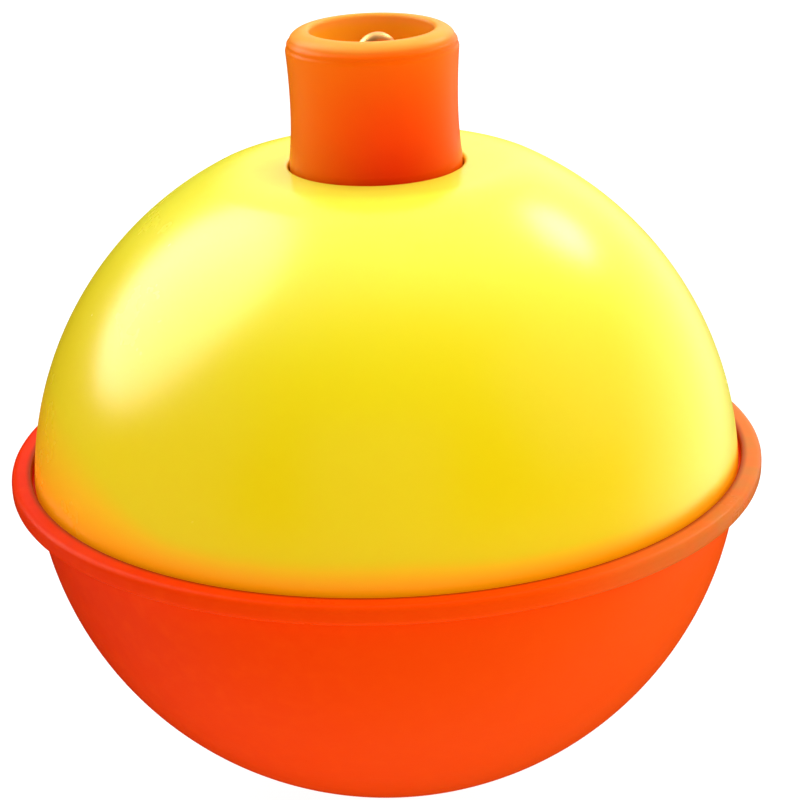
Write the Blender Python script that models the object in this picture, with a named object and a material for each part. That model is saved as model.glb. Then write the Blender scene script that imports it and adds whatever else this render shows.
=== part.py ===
"""Bobber float, 38.1 mm (1-1/2 in) size, as five separate pieces.

Metres, +Z up. Z is the float's axis, from the bottom nub (z = 0) to the push button.
Run it with: blender --background --python part.py
"""
import math

import bmesh
import bpy
from mathutils import Vector

MM = 0.001

# Ball: two half shells of one radius, which lap over each other at the middle.
BALL_RADIUS = 19.05 * MM
HALF_LAP = 0.75 * MM
SHELL_WALL = 1.5 * MM
NUB_LENGTH = 1.5 * MM
MIDDLE_Z = NUB_LENGTH + BALL_RADIUS - HALF_LAP
DOME_CENTRE_Z = MIDDLE_Z - HALF_LAP
BOWL_CENTRE_Z = MIDDLE_Z + HALF_LAP
INNER_RADIUS = BALL_RADIUS - SHELL_WALL

# Lap joint: the dome's spigot stands inside the bowl, the bowl's collar outside the dome.
COLLAR_RADIUS = 20.25 * MM
COLLAR_BELOW_MIDDLE = 0.3 * MM
COLLAR_EDGE_RADIUS = 0.3 * MM
COLLAR_UNDERSIDE_DROP = 0.15 * MM
DOME_STEP_ABOVE_MIDDLE = 0.15 * MM
SPIGOT_RADIUS = 18.15 * MM
SPIGOT_BORE_RADIUS = 17.45 * MM
SPIGOT_LENGTH = 1.6 * MM
FIT_GAP = 0.12 * MM
LEDGE_GAP = 0.15 * MM

# Flat land round the button's hole, blended into the dome's curve.
LAND_Z = MIDDLE_Z + 16.65 * MM
LAND_FLAT_RADIUS = 6.6 * MM
LAND_BLEND_RADIUS = 8.9 * MM
LAND_BLEND_STEPS = 3

# Well for the button and the spring, moulded in one with the dome.
WELL_RADIUS = 4.6 * MM
WELL_WALL = 0.9 * MM
WELL_FLOOR_Z = 20.0 * MM
WELL_FLOOR_THICKNESS = 1.2 * MM
WELL_EDGE = 0.15 * MM
SOCKET_DEPTH = 2.0 * MM
SOCKET_WALL = 0.9 * MM

# Wire tube and nub, moulded in one with the bowl.
TUBE_RADIUS = 2.6 * MM
TUBE_BORE_RADIUS = 1.7 * MM
TUBE_END_GAP = 0.1 * MM
NUB_CHAMFER = 0.2 * MM
HOOK_CHAMBER_RADIUS = 1.75 * MM
HOOK_CHAMBER_DEPTH = 3.2 * MM
BOTTOM_WEB_THICKNESS = 1.0 * MM

# Push button: a waisted cap with a recess on top and a skirt round the spring.
BUTTON_TOP_Z = MIDDLE_Z + 23.7 * MM
BUTTON_LENGTH = 12.05 * MM
BUTTON_RIM_RADIUS = 4.47 * MM
BUTTON_WAIST_RADIUS = 4.34 * MM
BUTTON_BASE_RADIUS = 4.5 * MM
BUTTON_WAIST_DEPTH = 4.1 * MM
BUTTON_BASE_DEPTH = 6.75 * MM
RIM_OUTER_ROUND = 1.05 * MM
RIM_INNER_ROUND = 0.22 * MM
RECESS_RADIUS = 3.2 * MM
RECESS_DEPTH = 4.2 * MM
BUTTON_WEB_THICKNESS = 1.2 * MM
SKIRT_BORE_RADIUS = 3.75 * MM

# Hook wire: one brass wire, a little off the axis, with a hook bent at each end.
WIRE_DIAMETER = 0.85 * MM
WIRE_X = 0.95 * MM
WIRE_Y = 0.4 * MM
TOP_BEND_RADIUS = 0.85 * MM
BOTTOM_BEND_RADIUS = 0.7 * MM
HOOK_TIP_GAP = 0.1 * MM
TOP_HOOK_BELOW_RIM = 0.25 * MM
BOTTOM_HOOK_ABOVE_NUB = 0.3 * MM
TOP_HOOK_HEADING = math.radians(-150.0)
BOTTOM_HOOK_HEADING = math.radians(223.0)
WIRE_HOLE_RADIUS = 0.65 * MM

# Return spring: a steel compression coil between the well's floor and the button's web.
SPRING_MEAN_RADIUS = 2.95 * MM
SPRING_WIRE_DIAMETER = 0.5 * MM
SPRING_TURNS = 7.0
SPRING_DEAD_TURNS = 1.0
SPRING_DEAD_PITCH = 0.75 * MM
SPRING_SEAT_GAP = 0.1 * MM

# How finely round shapes are cut.
SHELL_SEGMENTS = 40
BUTTON_SEGMENTS = 32
HOLE_SEGMENTS = 16
ARC_STEPS = 10
ROUND_STEPS = 4
WAIST_STEPS = 3
HOOK_STEPS = 8
SPRING_STEPS_PER_TURN = 16
WIRE_BEVEL_RESOLUTION = 2
MERGE_DISTANCE = 1e-7
SMOOTH_ANGLE = math.radians(32.0)


def clear_scene():
    """Remove every object, so that the script starts from an empty scene."""
    for item in list(bpy.data.objects):
        bpy.data.objects.remove(item, do_unlink=True)


def make_material(name, colour, roughness, metallic=0.0):
    """A Principled material with a base colour (linear), roughness and metallic value."""
    material = bpy.data.materials.new(name)
    material.use_nodes = True
    shader = material.node_tree.nodes["Principled BSDF"]
    shader.inputs["Base Color"].default_value = (*colour, 1.0)
    shader.inputs["Roughness"].default_value = roughness
    shader.inputs["Metallic"].default_value = metallic
    material.diffuse_color = (*colour, 1.0)
    return material


def arc(centre, radius, start, end, steps):
    """Points (r, z) round a centre, between two angles in radians, both ends included."""
    points = []
    for step in range(steps + 1):
        angle = start + (end - start) * step / steps
        points.append((centre[0] + radius * math.cos(angle), centre[1] + radius * math.sin(angle)))
    return points


def arc_by_radius(centre_z, radius, start, end, side, steps):
    """Points on a sphere's outline from one distance off the axis to another; side +1 is above."""
    start_angle = side * math.acos(start / radius)
    end_angle = side * math.acos(end / radius)
    return arc((0.0, centre_z), radius, start_angle, end_angle, steps)


def radius_at(centre_z, radius, z):
    """Distance off the axis of a sphere's surface at height z."""
    return math.sqrt(radius ** 2 - (z - centre_z) ** 2)


def link(item, material):
    """Put an object in the scene and give it its material."""
    bpy.context.scene.collection.objects.link(item)
    item.data.materials.append(material)
    return item


def lathe(name, profile, segments, material):
    """Turn a profile of (r, z) points round the Z axis into one closed body.

    A profile whose two ends are on the axis is open, and any other is closed on itself.
    """
    mesh = bpy.data.meshes.new(name)
    shape = bmesh.new()
    corners = [shape.verts.new((r, 0.0, z)) for r, z in profile]
    edges = [shape.edges.new(pair) for pair in zip(corners, corners[1:])]
    on_axis = profile[0][0] == 0.0 and profile[-1][0] == 0.0
    if not on_axis:
        edges.append(shape.edges.new((corners[-1], corners[0])))
    bmesh.ops.spin(
        shape,
        geom=corners + edges,
        axis=(0.0, 0.0, 1.0),
        cent=(0.0, 0.0, 0.0),
        angle=math.tau,
        steps=segments,
        use_duplicate=False,
    )
    bmesh.ops.remove_doubles(shape, verts=shape.verts, dist=MERGE_DISTANCE)
    bmesh.ops.recalc_face_normals(shape, faces=shape.faces)
    shape.to_mesh(mesh)
    shape.free()
    mesh.shade_smooth()
    mesh.set_sharp_from_angle(angle=SMOOTH_ANGLE)
    return link(bpy.data.objects.new(name, mesh), material)


def cut_wire_hole(item, low_z, high_z):
    """Cut the off-centre hole that the hook wire slides in, between two heights."""
    mesh = bpy.data.meshes.new(item.name + "_hole")
    shape = bmesh.new()
    bmesh.ops.create_cone(
        shape,
        cap_ends=True,
        segments=HOLE_SEGMENTS,
        radius1=WIRE_HOLE_RADIUS,
        radius2=WIRE_HOLE_RADIUS,
        depth=high_z - low_z,
    )
    shape.to_mesh(mesh)
    shape.free()
    cutter = bpy.data.objects.new(item.name + "_hole_cutter", mesh)
    bpy.context.scene.collection.objects.link(cutter)
    cutter.location = (WIRE_X, WIRE_Y, (low_z + high_z) / 2.0)
    cutter.hide_render = True
    cutter.display_type = "WIRE"
    cut = item.modifiers.new("Wire hole", "BOOLEAN")
    cut.operation = "DIFFERENCE"
    cut.solver = "EXACT"
    cut.object = cutter


def round_wire(name, points, diameter, material):
    """A round wire along a list of points, with closed ends."""
    curve = bpy.data.curves.new(name, "CURVE")
    curve.dimensions = "3D"
    curve.bevel_depth = diameter / 2.0
    curve.bevel_resolution = WIRE_BEVEL_RESOLUTION
    curve.use_fill_caps = True
    spline = curve.splines.new("POLY")
    spline.points.add(len(points) - 1)
    for place, point in zip(spline.points, points):
        place.co = (*point, 1.0)
    return link(bpy.data.objects.new(name, curve), material)


def land_blend():
    """Points from the dome's curve to the flat land, along a soft quadratic bend."""
    dome_z = DOME_CENTRE_Z + math.sqrt(BALL_RADIUS ** 2 - LAND_BLEND_RADIUS ** 2)
    start = Vector((LAND_BLEND_RADIUS, dome_z))
    corner = Vector((radius_at(DOME_CENTRE_Z, BALL_RADIUS, LAND_Z), LAND_Z))
    end = Vector((LAND_FLAT_RADIUS, LAND_Z))
    points = []
    for step in range(1, LAND_BLEND_STEPS + 1):
        share = step / LAND_BLEND_STEPS
        point = start.lerp(corner, share).lerp(corner.lerp(end, share), share)
        points.append((point.x, point.y))
    return points


def make_upper_shell(material):
    """Dome, button well, well floor and the socket that takes the wire tube's end."""
    step_z = MIDDLE_Z + DOME_STEP_ABOVE_MIDDLE
    floor_under_z = WELL_FLOOR_Z - WELL_FLOOR_THICKNESS
    socket_end_z = floor_under_z - SOCKET_DEPTH
    socket_bore = TUBE_RADIUS + FIT_GAP
    socket_radius = socket_bore + SOCKET_WALL
    well_outer = WELL_RADIUS + WELL_WALL
    spigot_end_z = MIDDLE_Z - SPIGOT_LENGTH
    dome_step_radius = radius_at(DOME_CENTRE_Z, BALL_RADIUS, step_z)

    profile = arc_by_radius(
        DOME_CENTRE_Z, BALL_RADIUS, dome_step_radius, LAND_BLEND_RADIUS, 1.0, ARC_STEPS
    )
    profile += land_blend()
    profile.append((WELL_RADIUS + WELL_EDGE, LAND_Z))
    profile.append((WELL_RADIUS, LAND_Z - WELL_EDGE))
    profile.append((WELL_RADIUS, WELL_FLOOR_Z))
    profile.append((TUBE_BORE_RADIUS, WELL_FLOOR_Z))
    profile.append((TUBE_BORE_RADIUS, floor_under_z))
    profile.append((socket_bore, floor_under_z))
    profile.append((socket_bore, socket_end_z))
    profile.append((socket_radius, socket_end_z))
    profile.append((socket_radius, floor_under_z))
    profile.append((well_outer, floor_under_z))
    profile += arc_by_radius(
        DOME_CENTRE_Z, INNER_RADIUS, well_outer, SPIGOT_BORE_RADIUS, 1.0, ARC_STEPS
    )
    profile.append((SPIGOT_BORE_RADIUS, spigot_end_z))
    profile.append((SPIGOT_RADIUS, spigot_end_z))
    profile.append((SPIGOT_RADIUS, step_z))
    return lathe("upper_shell", profile, SHELL_SEGMENTS, material)


def make_lower_shell(material):
    """Bowl with its collar, the nub and the tube that carries the wire up to the well."""
    collar_top_z = MIDDLE_Z + HALF_LAP
    collar_low_z = MIDDLE_Z - COLLAR_BELOW_MIDDLE
    join_z = collar_low_z - COLLAR_UNDERSIDE_DROP
    ledge_z = MIDDLE_Z + DOME_STEP_ABOVE_MIDDLE - LEDGE_GAP
    seat_z = MIDDLE_Z - SPIGOT_LENGTH - LEDGE_GAP
    tube_end_z = WELL_FLOOR_Z - WELL_FLOOR_THICKNESS - TUBE_END_GAP
    web_top_z = HOOK_CHAMBER_DEPTH + BOTTOM_WEB_THICKNESS
    round_centre_r = COLLAR_RADIUS - COLLAR_EDGE_RADIUS
    quarter = math.pi / 2.0

    profile = [
        (0.0, HOOK_CHAMBER_DEPTH),
        (HOOK_CHAMBER_RADIUS, HOOK_CHAMBER_DEPTH),
        (HOOK_CHAMBER_RADIUS, 0.0),
        (TUBE_RADIUS - NUB_CHAMFER, 0.0),
        (TUBE_RADIUS, NUB_CHAMFER),
    ]
    profile += arc_by_radius(
        BOWL_CENTRE_Z,
        BALL_RADIUS,
        TUBE_RADIUS,
        radius_at(BOWL_CENTRE_Z, BALL_RADIUS, join_z),
        -1.0,
        ARC_STEPS,
    )
    profile += arc(
        (round_centre_r, collar_low_z + COLLAR_EDGE_RADIUS),
        COLLAR_EDGE_RADIUS,
        -quarter,
        0.0,
        ROUND_STEPS,
    )
    profile += arc(
        (round_centre_r, collar_top_z - COLLAR_EDGE_RADIUS),
        COLLAR_EDGE_RADIUS,
        0.0,
        quarter,
        ROUND_STEPS,
    )
    profile.append((BALL_RADIUS + FIT_GAP, collar_top_z))
    profile.append((BALL_RADIUS + FIT_GAP, ledge_z))
    profile.append((SPIGOT_RADIUS + FIT_GAP, ledge_z))
    profile.append((SPIGOT_RADIUS + FIT_GAP, seat_z))
    profile += arc_by_radius(
        BOWL_CENTRE_Z,
        INNER_RADIUS,
        radius_at(BOWL_CENTRE_Z, INNER_RADIUS, seat_z),
        TUBE_RADIUS,
        -1.0,
        ARC_STEPS,
    )
    profile.append((TUBE_RADIUS, tube_end_z))
    profile.append((TUBE_BORE_RADIUS, tube_end_z))
    profile.append((TUBE_BORE_RADIUS, web_top_z))
    profile.append((0.0, web_top_z))
    shell = lathe("lower_shell", profile, SHELL_SEGMENTS, material)
    cut_wire_hole(
        shell,
        HOOK_CHAMBER_DEPTH - BOTTOM_WEB_THICKNESS / 2.0,
        web_top_z + BOTTOM_WEB_THICKNESS / 2.0,
    )
    return shell


def button_side(depth):
    """Radius of the button's waisted side at a depth below its top."""
    if depth < BUTTON_WAIST_DEPTH:
        share = (BUTTON_WAIST_DEPTH - depth) / (BUTTON_WAIST_DEPTH - RIM_OUTER_ROUND)
        flare = BUTTON_RIM_RADIUS - BUTTON_WAIST_RADIUS
    else:
        share = (depth - BUTTON_WAIST_DEPTH) / (BUTTON_BASE_DEPTH - BUTTON_WAIST_DEPTH)
        flare = BUTTON_BASE_RADIUS - BUTTON_WAIST_RADIUS
    return BUTTON_WAIST_RADIUS + flare * share ** 2


def make_push_button(material):
    """Cap that is pressed: rim, recess with the top hook in it, web and spring skirt."""
    recess_floor_z = BUTTON_TOP_Z - RECESS_DEPTH
    web_under_z = recess_floor_z - BUTTON_WEB_THICKNESS
    bottom_z = BUTTON_TOP_Z - BUTTON_LENGTH
    quarter = math.pi / 2.0

    profile = [(0.0, recess_floor_z), (RECESS_RADIUS, recess_floor_z)]
    profile += arc(
        (RECESS_RADIUS + RIM_INNER_ROUND, BUTTON_TOP_Z - RIM_INNER_ROUND),
        RIM_INNER_ROUND,
        math.pi,
        quarter,
        ROUND_STEPS,
    )
    profile += arc(
        (BUTTON_RIM_RADIUS - RIM_OUTER_ROUND, BUTTON_TOP_Z - RIM_OUTER_ROUND),
        RIM_OUTER_ROUND,
        quarter,
        0.0,
        ROUND_STEPS,
    )
    for start, end in ((RIM_OUTER_ROUND, BUTTON_WAIST_DEPTH), (BUTTON_WAIST_DEPTH, BUTTON_BASE_DEPTH)):
        for step in range(1, WAIST_STEPS + 1):
            depth = start + (end - start) * step / WAIST_STEPS
            profile.append((button_side(depth), BUTTON_TOP_Z - depth))
    profile.append((BUTTON_BASE_RADIUS, bottom_z))
    profile.append((SKIRT_BORE_RADIUS, bottom_z))
    profile.append((SKIRT_BORE_RADIUS, web_under_z))
    profile.append((0.0, web_under_z))
    button = lathe("push_button", profile, BUTTON_SEGMENTS, material)
    cut_wire_hole(
        button,
        web_under_z - BUTTON_WEB_THICKNESS / 2.0,
        recess_floor_z + BUTTON_WEB_THICKNESS / 2.0,
    )
    return button


def hook_points(bend_radius, bend_z, tip_z, heading, side):
    """Points from the main wire round a half-turn bend and back to the hook's tip.

    bend_z is the height of the bend's centre, and side is +1 for the top hook, -1 for the
    bottom one. The heading is the direction from the main wire to the hook's short leg.
    """
    points = []
    across = Vector((math.cos(heading), math.sin(heading), 0.0))
    main = Vector((WIRE_X, WIRE_Y, 0.0))
    for step in range(HOOK_STEPS + 1):
        angle = math.pi * step / HOOK_STEPS
        offset = bend_radius * (1.0 - math.cos(angle))
        height = bend_z + side * bend_radius * math.sin(angle)
        points.append(main + across * offset + Vector((0.0, 0.0, height)))
    tip = main + across * 2.0 * bend_radius
    points.append(Vector((tip.x, tip.y, tip_z)))
    return points


def make_hook_wire(material):
    """One wire from the hook in the nub, up through the float, to the hook in the button."""
    bottom_bend_z = BOTTOM_HOOK_ABOVE_NUB + BOTTOM_BEND_RADIUS + WIRE_DIAMETER / 2.0
    top_bend_z = BUTTON_TOP_Z - TOP_HOOK_BELOW_RIM - TOP_BEND_RADIUS - WIRE_DIAMETER / 2.0
    bottom_tip_z = HOOK_CHAMBER_DEPTH - HOOK_TIP_GAP
    top_tip_z = BUTTON_TOP_Z - RECESS_DEPTH + HOOK_TIP_GAP
    bottom = hook_points(BOTTOM_BEND_RADIUS, bottom_bend_z, bottom_tip_z, BOTTOM_HOOK_HEADING, -1.0)
    top = hook_points(TOP_BEND_RADIUS, top_bend_z, top_tip_z, TOP_HOOK_HEADING, 1.0)
    return round_wire("hook_wire", bottom[::-1] + top, WIRE_DIAMETER, material)


def make_return_spring(material):
    """Coil with a closed turn at each end, seated on the well's floor under the web."""
    half_wire = SPRING_WIRE_DIAMETER / 2.0
    low_z = WELL_FLOOR_Z + SPRING_SEAT_GAP + half_wire
    high_z = BUTTON_TOP_Z - RECESS_DEPTH - BUTTON_WEB_THICKNESS - SPRING_SEAT_GAP - half_wire
    dead_rise = SPRING_DEAD_TURNS * SPRING_DEAD_PITCH
    live_turns = SPRING_TURNS - 2.0 * SPRING_DEAD_TURNS
    live_rise = high_z - low_z - 2.0 * dead_rise
    points = []
    count = round(SPRING_TURNS * SPRING_STEPS_PER_TURN)
    for step in range(count + 1):
        turn = SPRING_TURNS * step / count
        live = min(max(turn - SPRING_DEAD_TURNS, 0.0), live_turns)
        dead = turn - live
        z = low_z + dead * SPRING_DEAD_PITCH + live_rise * live / live_turns
        angle = math.tau * turn
        x = SPRING_MEAN_RADIUS * math.cos(angle)
        y = SPRING_MEAN_RADIUS * math.sin(angle)
        points.append(Vector((x, y, z)))
    return round_wire("return_spring", points, SPRING_WIRE_DIAMETER, material)


def main():
    """Build the five pieces of the float."""
    clear_scene()
    yellow = make_material("yellow_plastic", (0.88, 0.70, 0.01), 0.22)
    orange = make_material("orange_plastic", (0.92, 0.06, 0.0), 0.25)
    brass = make_material("brass", (0.78, 0.52, 0.20), 0.28, 1.0)
    steel = make_material("spring_steel", (0.55, 0.55, 0.54), 0.32, 1.0)
    make_upper_shell(yellow)
    make_lower_shell(orange)
    make_push_button(orange)
    make_hook_wire(brass)
    make_return_spring(steel)


main()
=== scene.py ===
"""Looks of the bobber float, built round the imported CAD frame. Metres, +Z up the float's axis."""
import math

import bmesh
import bpy
from mathutils import Matrix, Vector


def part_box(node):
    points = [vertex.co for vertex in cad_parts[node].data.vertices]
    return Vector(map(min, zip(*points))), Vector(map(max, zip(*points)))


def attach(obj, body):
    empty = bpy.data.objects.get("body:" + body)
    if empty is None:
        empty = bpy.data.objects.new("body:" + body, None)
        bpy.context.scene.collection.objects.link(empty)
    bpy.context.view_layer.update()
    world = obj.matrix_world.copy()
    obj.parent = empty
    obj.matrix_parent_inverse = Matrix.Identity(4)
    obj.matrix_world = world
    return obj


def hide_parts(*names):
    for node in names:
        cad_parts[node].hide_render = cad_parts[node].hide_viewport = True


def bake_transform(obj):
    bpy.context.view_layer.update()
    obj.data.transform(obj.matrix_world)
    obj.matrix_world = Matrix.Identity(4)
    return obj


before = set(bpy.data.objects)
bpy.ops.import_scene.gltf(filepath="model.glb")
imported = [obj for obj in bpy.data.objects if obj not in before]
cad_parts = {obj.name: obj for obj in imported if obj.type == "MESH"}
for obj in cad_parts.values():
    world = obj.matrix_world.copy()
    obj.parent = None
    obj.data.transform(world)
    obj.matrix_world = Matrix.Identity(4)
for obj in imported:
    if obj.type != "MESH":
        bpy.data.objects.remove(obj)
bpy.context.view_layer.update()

MM = 0.001

# The lowest and highest corner of each CAD node at rest.
upper_low, upper_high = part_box("upper_shell")
lower_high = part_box("lower_shell")[1]
button_low, button_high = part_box("push_button")
wire_low, wire_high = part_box("hook_wire")
spring_low, spring_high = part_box("return_spring")

# The ball: two half shells of one radius that lap over each other at the middle.
BALL_RADIUS = 19.05 * MM
HALF_LAP = 0.75 * MM
SHELL_WALL = 1.5 * MM
INNER_RADIUS = BALL_RADIUS - SHELL_WALL
COLLAR_TOP_Z = lower_high.z
MIDDLE_Z = COLLAR_TOP_Z - HALF_LAP
DOME_CENTRE_Z = MIDDLE_Z - HALF_LAP
BOWL_CENTRE_Z = MIDDLE_Z + HALF_LAP

# Lap joint.
COLLAR_RADIUS = lower_high.x
COLLAR_BELOW_MIDDLE = 0.3 * MM
COLLAR_UNDERSIDE_DROP = 0.15 * MM
COLLAR_ROUND = 0.4 * MM
DOME_STEP_ABOVE_MIDDLE = 0.15 * MM
SPIGOT_RADIUS = 18.15 * MM
SPIGOT_BORE_RADIUS = 17.45 * MM
SPIGOT_LENGTH = 1.6 * MM
FIT_GAP = 0.12 * MM
LEDGE_GAP = 0.15 * MM

# Land round the button's hole.
LAND_Z = upper_high.z
LAND_FLAT_RADIUS = 6.6 * MM
LAND_BLEND_RADIUS = 8.9 * MM
LAND_HOLE_ROUND = 0.22 * MM

# Well, its floor and the socket under it.
WELL_RADIUS = 4.6 * MM
WELL_WALL = 0.9 * MM
WELL_FLOOR_Z = 20.0 * MM
WELL_FLOOR_THICKNESS = 1.2 * MM
SOCKET_END_Z = upper_low.z
SOCKET_WALL = 0.9 * MM

# Wire tube, nub and the chamber for the bottom hook.
TUBE_RADIUS = 2.6 * MM
TUBE_BORE_RADIUS = 1.7 * MM
TUBE_END_GAP = 0.1 * MM
NUB_TIP_ROUND = 0.3 * MM
NUB_ROOT_ROUND = 0.45 * MM
HOOK_CHAMBER_RADIUS = 1.75 * MM
HOOK_CHAMBER_DEPTH = 3.2 * MM
BOTTOM_WEB_THICKNESS = 1.0 * MM

# Push button.
BUTTON_TOP_Z = button_high.z
BUTTON_BOTTOM_Z = button_low.z
BUTTON_RIM_RADIUS = 4.47 * MM
BUTTON_WAIST_RADIUS = 4.34 * MM
BUTTON_BASE_RADIUS = button_high.x
BUTTON_WAIST_DEPTH = 4.1 * MM
BUTTON_BASE_DEPTH = 6.75 * MM
RIM_OUTER_ROUND = 1.05 * MM
RIM_INNER_ROUND = 0.22 * MM
RIM_LINE_DEPTHS = (0.5 * MM, 0.82 * MM)
RIM_LINE_WIDTH = 0.11 * MM
RIM_LINE_CUT = 0.05 * MM
RECESS_RADIUS = 3.2 * MM
RECESS_DEPTH = 4.2 * MM
RECESS_DRAFT = 0.1 * MM
BUTTON_WEB_THICKNESS = 1.2 * MM
SKIRT_BORE_RADIUS = 3.75 * MM
SKIRT_STRAIGHT_TOP = 0.25 * MM

# Hook wire.
WIRE_DIAMETER = 0.85 * MM
WIRE_X = 0.95 * MM
WIRE_Y = 0.4 * MM
TOP_BEND_RADIUS = 0.85 * MM
BOTTOM_BEND_RADIUS = 0.7 * MM
HOOK_TIP_GAP = 0.1 * MM
WIRE_END_ROUND_SHARE = 0.45
TOP_HOOK_HEADING = math.radians(-150.0)
BOTTOM_HOOK_HEADING = math.radians(223.0)
WIRE_HOLE_RADIUS = 0.65 * MM

# Return spring.
SPRING_MEAN_RADIUS = 2.95 * MM
SPRING_WIRE_DIAMETER = 0.5 * MM
SPRING_TURNS = 7.0
SPRING_DEAD_TURNS = 1.0
SPRING_DEAD_PITCH = 0.75 * MM

# How finely the pieces are cut.
SHELL_SEGMENTS = 240
BUTTON_SEGMENTS = 160
HOLE_SEGMENTS = 48
SPHERE_STEPS = 72
LAND_STEPS = 12
RIM_INNER_STEPS = 10
RIM_OUTER_STEPS = 40
BUTTON_SIDE_STEPS = 60
SOFT_STEPS = 6
WIRE_SIDES = 28
SPRING_SIDES = 16
SPRING_STEPS_PER_TURN = 48
HOOK_STEPS = 28
HOOK_LEG_STEPS = 8
WIRE_END_STEPS = 6
SUPPORT_EDGE = 0.06 * MM
MERGE_DISTANCE = 1e-7
SHARP_ANGLE = math.radians(40.0)
QUARTER = math.pi / 2.0

# Colours, linear. The dome's and the button's height ramps run upwards and hold painted light, paler higher
# up where the overhead light falls; the orange side ramp runs from -X to +X and holds painted light and
# shade, darker at the left.
YELLOW_PAINTED_LIGHT_BY_HEIGHT = (
    (0.96, 0.660, 0.001),
    (0.90, 0.630, 0.001),
    (0.88, 0.660, 0.003),
    (0.88, 0.740, 0.012),
    (0.95, 0.940, 0.070),
)
YELLOW_CLOUD = (0.89, 0.66, 0.001)
YELLOW_FLECK = (0.93, 0.74, 0.003)
YELLOW_PAINTED_REFLECTION_RIGHT = (0.98, 0.94, 0.12)
YELLOW_PAINTED_GLOW = (1.0, 0.330, 0.001)
ORANGE_PAINTED_SHADE_BY_SIDE = (
    (0.66, 0.015, 0.0002),
    (0.90, 0.046, 0.0002),
    (0.93, 0.070, 0.0003),
    (0.95, 0.095, 0.0020),
)
ORANGE_CLOUD = (0.90, 0.055, 0.0005)
ORANGE_FLECK = (0.98, 0.085, 0.001)
ORANGE_PAINTED_REFLECTION = (0.52, 0.18, 0.030)
ORANGE_SEAM_SHADE = (0.26, 0.034, 0.0003)
BUTTON_PAINTED_LIGHT_BY_HEIGHT = (
    (0.78, 0.026, 0.0003),
    (0.96, 0.052, 0.0004),
    (0.96, 0.078, 0.0005),
    (0.96, 0.125, 0.0008),
)
BUTTON_FLANK_HIGHLIGHT = (0.97, 0.21, 0.0010)
BUTTON_CLOUD = (0.92, 0.065, 0.0004)
BUTTON_RECESS = (0.93, 0.40, 0.015)
BUTTON_RIM_HIGHLIGHT = (0.95, 0.36, 0.045)
BRASS = (0.92, 0.50, 0.17)
BRASS_TARNISH = (0.70, 0.34, 0.10)
STEEL = (0.62, 0.61, 0.59)
STEEL_STAIN = (0.40, 0.38, 0.36)
FLOOR_DARK = (0.17, 0.17, 0.17)
FLOOR_PALE = (0.19, 0.19, 0.19)
WHITE = (1.0, 1.0, 1.0, 1.0)

# Painted reflection band and painted seam shade of the collar: distances outside the ball, and depths below
# the collar's top.
PAINTED_REFLECTION_BAND = (0.05 * MM, 0.35 * MM)
SEAM_SHADE_BAND = (0.15 * MM, 0.5 * MM)
SEAM_SHADE_DEPTHS = (0.5 * MM, 0.3 * MM)
SEAM_SHADE_MOST = 0.9

# Where the button is reddest, between its painted flank highlights, and where its recess colour and its
# painted rim highlight begin and end, from its top.
BUTTON_REDDEST_X = 0.8 * MM
RECESS_FADE_DEPTHS = (1.3 * RECESS_DEPTH, 1.1 * RECESS_DEPTH)
RIM_HIGHLIGHT_BELOW = 0.55 * MM
RIM_HIGHLIGHT_ABOVE = 0.05 * MM
RIM_HIGHLIGHT_WANDER = 0.3 * MM

# Gloss and relief of the materials. Scales are in features for each metre.
PLASTIC_IOR = 1.5
SCUFF_SCALES = (260.0, 900.0, 5200.0)
SCUFF_ROUGHNESS = 0.02
SINK_TO_PEEL = 4.0
GRAIN_TO_PEEL = 0.02
YELLOW_PEEL_DEPTH = 0.005 * MM
ORANGE_PEEL_DEPTH = 0.010 * MM
BUTTON_PEEL_DEPTH = 0.008 * MM
BRASS_LINE_SCALES = (9000.0, 9000.0, 500.0)
BRASS_LINE_DEPTH = 0.003 * MM
STEEL_LINE_DEPTH = 0.002 * MM

# Places of a colour Mix node's sockets.
MIX_COLOUR_A = 6
MIX_COLOUR_B = 7
MIX_COLOUR_RESULT = 2

# Painted glow: orange light from the collar, painted into the dome's colour and given off as a faint
# emission. How high it reaches at the left, the front and the right.
GLOW_LEFT = 6.5 * MM
GLOW_FRONT = 1.7 * MM
GLOW_RIGHT = 0.6 * MM
GLOW_TURN_X = 10.0 * MM
GLOW_WOBBLE = 0.4 * MM
GLOW_FULL_SHARE = -0.15
GLOW_MOST = 0.95
GLOW_STRENGTH = 0.25

# Camera.
CAMERA_DISTANCE = 130.0 * MM
CAMERA_ELEVATION = math.radians(22.42)
CAMERA_ROLL = math.radians(1.87)
CAMERA_LENS = 107.1
AIM_RIGHT = 0.845 * MM
AIM_UP = 3.039 * MM
SUBJECT = Vector((0.0, 0.0, MIDDLE_Z))

# Surroundings: brightness in front, behind and to the eye, and the ranges of direction that it turns over.
WORLD_FRONT = 0.05
WORLD_BACK = 1.4
WORLD_SEEN = 1.0
WORLD_DEPTHS = (-0.55, 0.45)
WORLD_HEIGHTS = (0.15, 0.65)
WORLD_SIDES = (-0.5, 1.0)
WORLD_SIDE_LIFT = (-0.2, 1.0)
FLOOR_GLOW = 0.95
FLOOR_HALF_WIDTH = 3.0
FLOOR_CELLS = 8

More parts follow.
